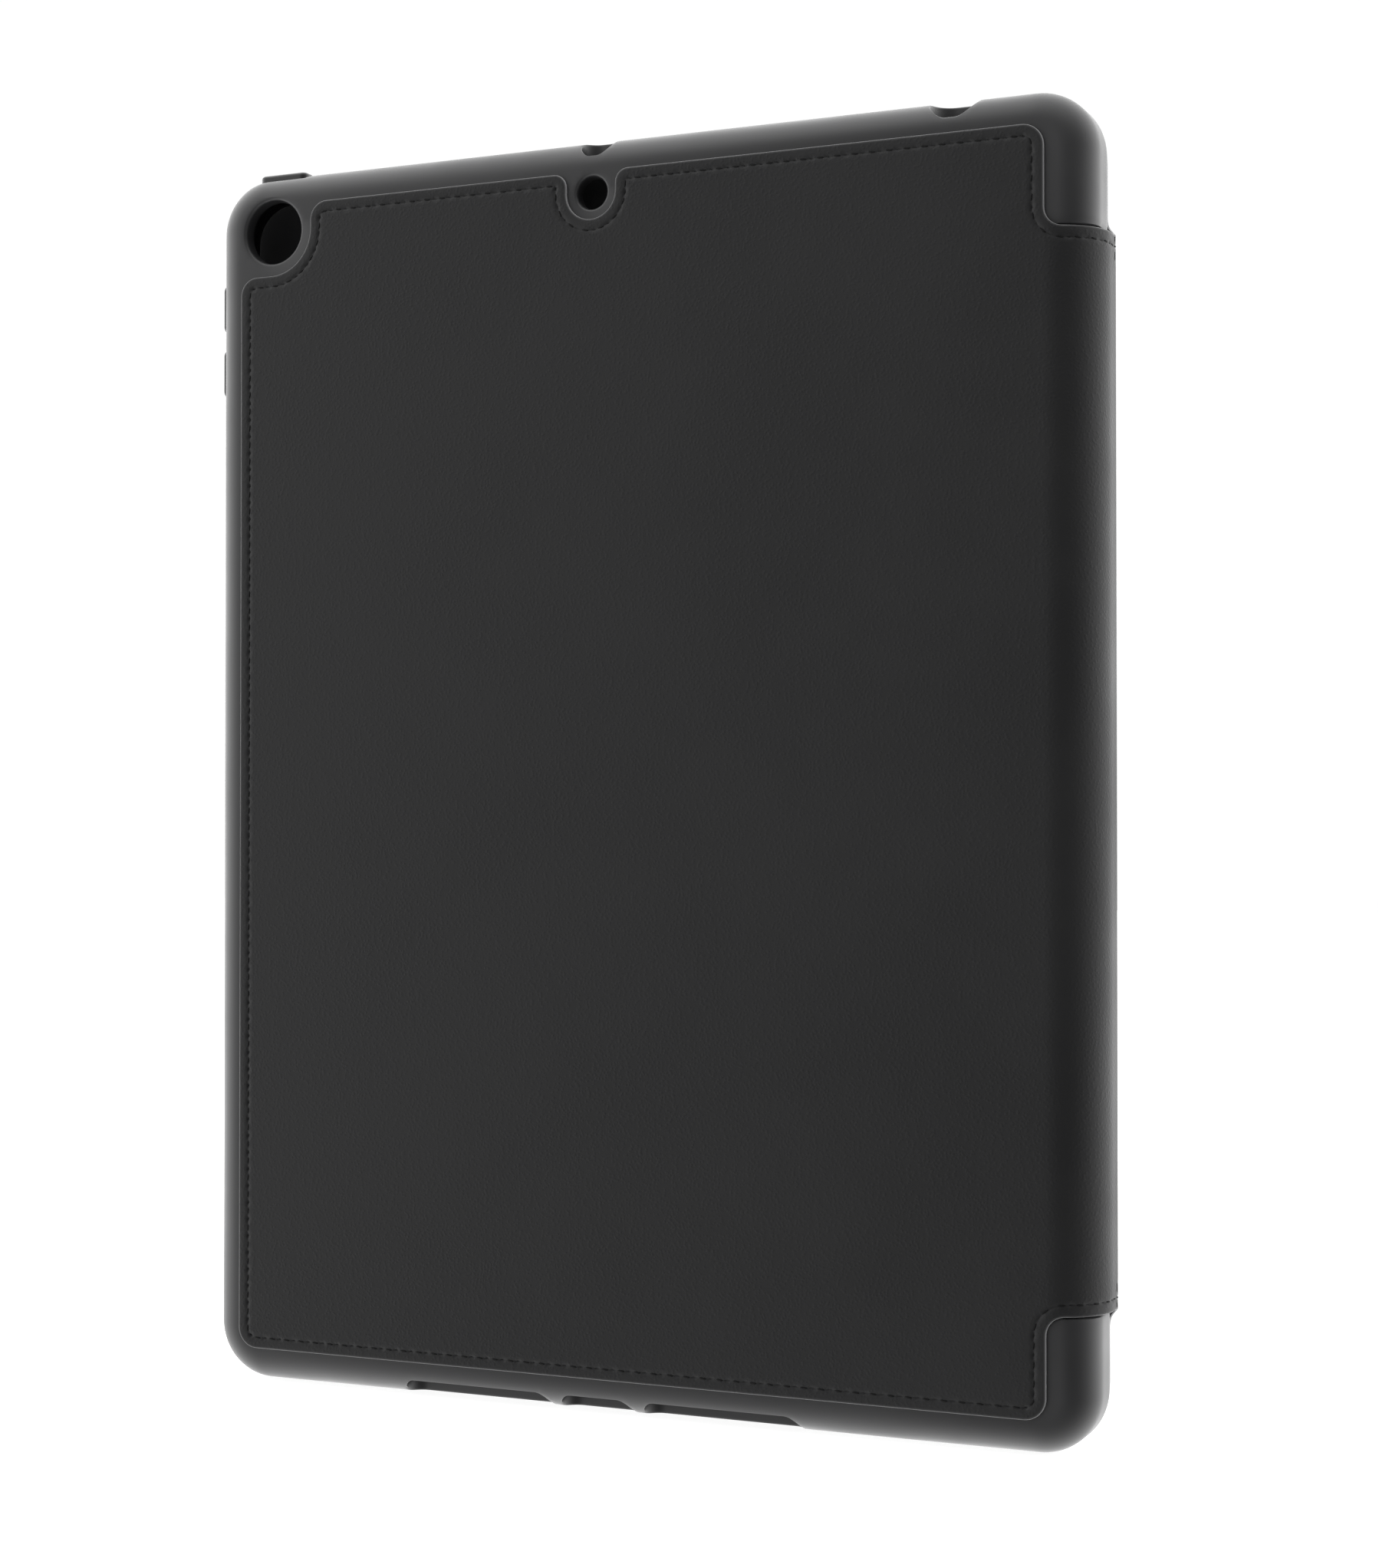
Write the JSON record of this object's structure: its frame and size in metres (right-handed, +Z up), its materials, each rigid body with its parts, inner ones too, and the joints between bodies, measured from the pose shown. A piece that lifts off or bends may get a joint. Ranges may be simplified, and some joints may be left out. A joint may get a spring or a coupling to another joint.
{
  "type": "tablet folio case",
  "caption": "Stitched leather folio case for a ten inch tablet: moulded shell with pencil channel, soft spine and a cover of three panels that folds into a stand.",
  "frame": {"origin": "on the floor under the middle of the closed case's box, standing upright on its bottom edge", "axes": "+X from the camera side to the spine seen from behind, +Y from the leather back to the cover, +Z up along the tablet's long side"},
  "size_m": [0.1964, 0.0158, 0.2592],
  "materials": {
    "moulded": "satin moulded thermoplastic elastomer, softly rounded",
    "leather": "fine-grained synthetic leather with a cut edge",
    "thread": "waxed polyester thread",
    "lining": "brushed microfibre",
    "board": "stiffening board",
    "magnet": "plated magnet",
    "steel": "thin rolled strip"
  },
  "bodies": {
    "shell": {"moulded_shell": "moulded", "back_leather": "leather", "back_seam_thread": "thread", "back_board": "board", "back_crease_leather": "leather", "back_crease_lower_thread": "thread", "back_crease_upper_thread": "thread", "back_crease_lining": "lining"},
    "power_button": {"power_button_pad": "moulded"},
    "volume_up_button": {"volume_up_button_pad": "moulded"},
    "volume_down_button": {"volume_down_button_pad": "moulded"},
    "spine": {"spine_leather": "leather", "spine_lower_thread": "thread", "spine_upper_thread": "thread", "spine_board": "board", "spine_lining": "lining", "front_crease_leather": "leather", "front_crease_lining": "lining"},
    "inner_panel": {"inner_panel_leather": "leather", "inner_panel_board": "board", "inner_panel_lining": "lining", "inner_panel_lower_thread": "thread", "inner_panel_upper_thread": "thread", "stand_steel_strip": "steel", "inner_fold_web": "leather"},
    "middle_panel": {"middle_panel_leather": "leather", "middle_panel_board": "board", "middle_panel_lining": "lining", "middle_panel_lower_thread": "thread", "middle_panel_upper_thread": "thread", "outer_fold_web": "leather"},
    "outer_panel": {"outer_panel_leather": "leather", "outer_panel_board": "board", "outer_panel_lining": "lining", "outer_panel_edge_thread": "thread", "lower_magnet": "magnet", "sleep_magnet": "magnet", "upper_magnet": "magnet"}
  },
  "joints": [
    {"name": "spine_hinge", "type": "hinge", "parent": "shell", "child": "spine", "pos_m": [0.09582, -0.00547, 0.129], "axis": [0, 0, -1], "range_deg": [0, 90]},
    {"name": "cover_hinge", "type": "hinge", "parent": "spine", "child": "inner_panel", "pos_m": [0.09832, 0.00797, 0.129], "axis": [0, 0, -1], "range_deg": [0, 170]},
    {"name": "inner_fold", "type": "hinge", "parent": "inner_panel", "child": "middle_panel", "pos_m": [0.03218, 0.00658, 0.129], "axis": [0, 0, -1], "range_deg": [0, 115]},
    {"name": "outer_fold", "type": "hinge", "parent": "middle_panel", "child": "outer_panel", "pos_m": [-0.03383, 0.00658, 0.129], "axis": [0, 0, -1], "range_deg": [0, 115]},
    {"name": "power_button_press", "type": "slide", "parent": "shell", "child": "power_button", "axis": [0, 0, -1], "range_m": [0, 0.0005], "stiffness_N_per_m": 4000},
    {"name": "volume_up_press", "type": "slide", "parent": "shell", "child": "volume_up_button", "axis": [1, 0, 0], "range_m": [0, 0.0005], "stiffness_N_per_m": 4000},
    {"name": "volume_down_press", "type": "slide", "parent": "shell", "child": "volume_down_button", "axis": [1, 0, 0], "range_m": [0, 0.0005], "stiffness_N_per_m": 4000}
  ]
}
